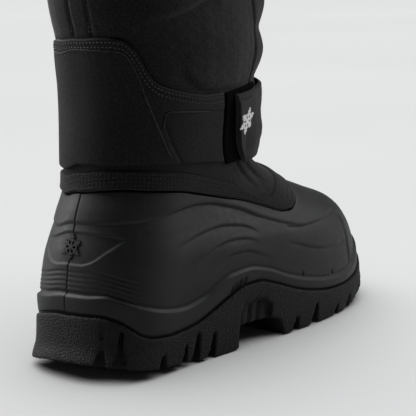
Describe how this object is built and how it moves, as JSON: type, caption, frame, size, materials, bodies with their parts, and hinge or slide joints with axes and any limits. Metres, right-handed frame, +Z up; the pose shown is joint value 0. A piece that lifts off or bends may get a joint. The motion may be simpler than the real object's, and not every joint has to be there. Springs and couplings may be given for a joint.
{
  "type": "snow boot",
  "caption": "Right-foot snow boot: lugged rubber sole and moulded shell, padded nylon shaft, coated ankle panel and a wide hook-and-loop instep strap",
  "frame": {"origin": "on the floor, under the middle of the whole boot's box", "axes": "+X from heel to toe, +Y to the boot's inner side, +Z up"},
  "size_m": [0.3254, 0.1236, 0.29],
  "materials": {
    "rubber_sole": "matte black outsole rubber with a rough pebbled texture",
    "rubber_shell": "smooth black moulded shell rubber with a soft satin sheen",
    "footbed_felt": "dark grey felt over foam",
    "nylon": "black oxford-weave nylon over padding",
    "binding_tape": "black ribbed binding tape",
    "coated_panel": "black fabric with a fine-grained rubbery coating, satin",
    "loop_pile": "black looped pile, fully matte",
    "strap_webbing": "black padded strap in close woven cloth with a stitched border"
  },
  "bodies": {
    "root": {"outsole": "rubber_sole", "shell": "rubber_shell", "insole": "footbed_felt", "shaft": "nylon", "seam_band": "nylon", "collar_binding": "binding_tape", "ankle_panel": "coated_panel", "loop_patch": "loop_pile", "strap": "strap_webbing"}
  },
  "joints": []
}
